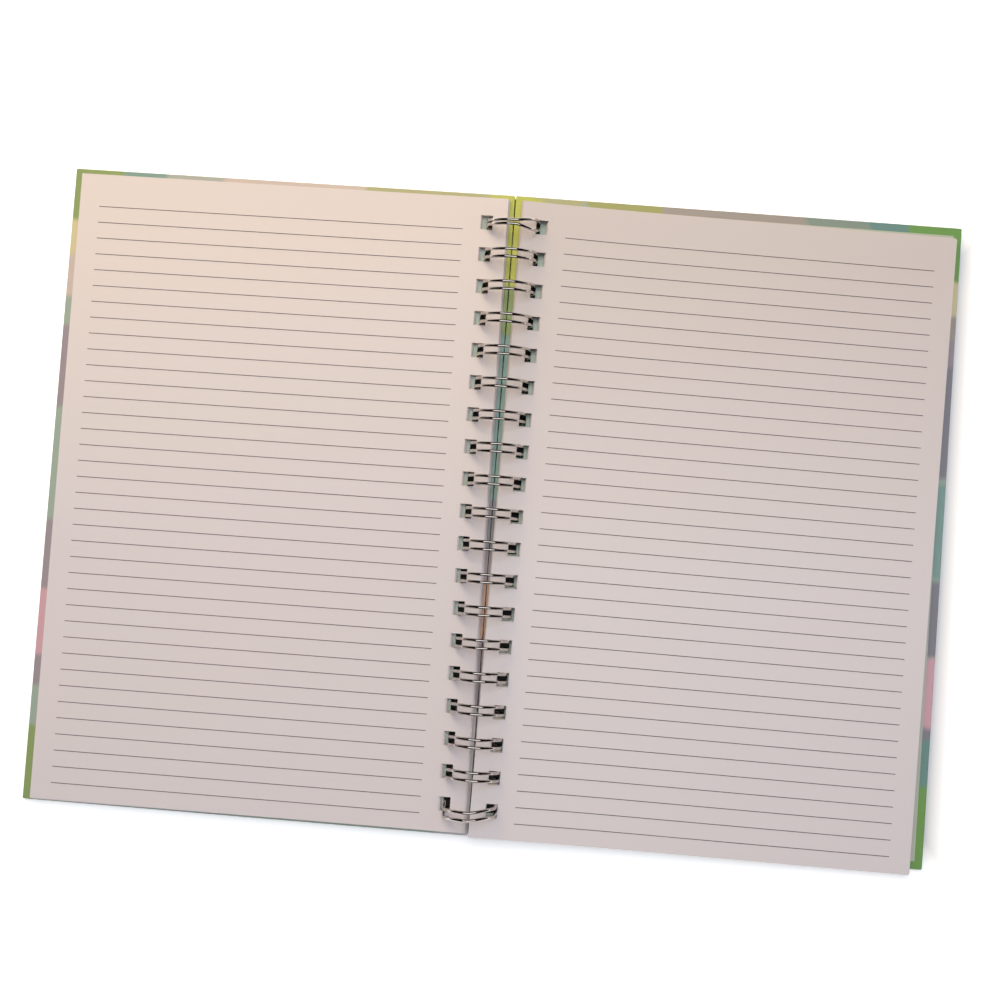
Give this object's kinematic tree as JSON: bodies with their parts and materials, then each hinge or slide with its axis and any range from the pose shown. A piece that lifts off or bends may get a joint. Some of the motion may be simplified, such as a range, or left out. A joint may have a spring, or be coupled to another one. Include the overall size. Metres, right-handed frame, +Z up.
{
  "type": "open spiral notebook",
  "caption": "Hard-cover notebook lying open on a twin-loop wire, with two stacks of ruled sheets that turn with its covers.",
  "frame": {"origin": "on the table under the middle of the spine, midway between the two covers", "axes": "+X towards the back cover's fore edge, +Y towards the book's head, +Z up from the table"},
  "size_m": [0.3554, 0.2539, 0.0214],
  "materials": {
    "wire": "bright nickel-plated steel wire",
    "grey_board": "raw grey board",
    "cover_paper": "satin laminated paper in soft fields of green, yellow, teal and pink",
    "liner_paper": "matt paper in paler fields of the same colours",
    "page_paper": "uncoated warm white paper, ruled in grey"
  },
  "bodies": {
    "wire": {"binding_wire": "wire"},
    "front_cover": {"front_board": "grey_board", "front_wrap": "cover_paper", "front_liner": "liner_paper"},
    "front_pages": {"front_pages": "page_paper"},
    "back_cover": {"back_board": "grey_board", "back_wrap": "cover_paper", "back_liner": "liner_paper"},
    "back_pages": {"back_pages": "page_paper"}
  },
  "joints": [
    {"name": "front_cover_turn", "type": "hinge", "parent": "wire", "child": "front_cover", "pos_m": [0, 0, 0.01077], "axis": [0, 1, 0], "range_deg": [0, 181]},
    {"name": "front_pages_turn", "type": "hinge", "parent": "front_cover", "child": "front_pages", "pos_m": [0, 0, 0.01077], "axis": [0, 1, 0], "range_deg": [0, 181]},
    {"name": "back_cover_turn", "type": "hinge", "parent": "wire", "child": "back_cover", "pos_m": [0, 0, 0.01077], "axis": [0, -1, 0], "range_deg": [0, 181]},
    {"name": "back_pages_turn", "type": "hinge", "parent": "back_cover", "child": "back_pages", "pos_m": [0, 0, 0.01077], "axis": [0, -1, 0], "range_deg": [0, 181]}
  ]
}
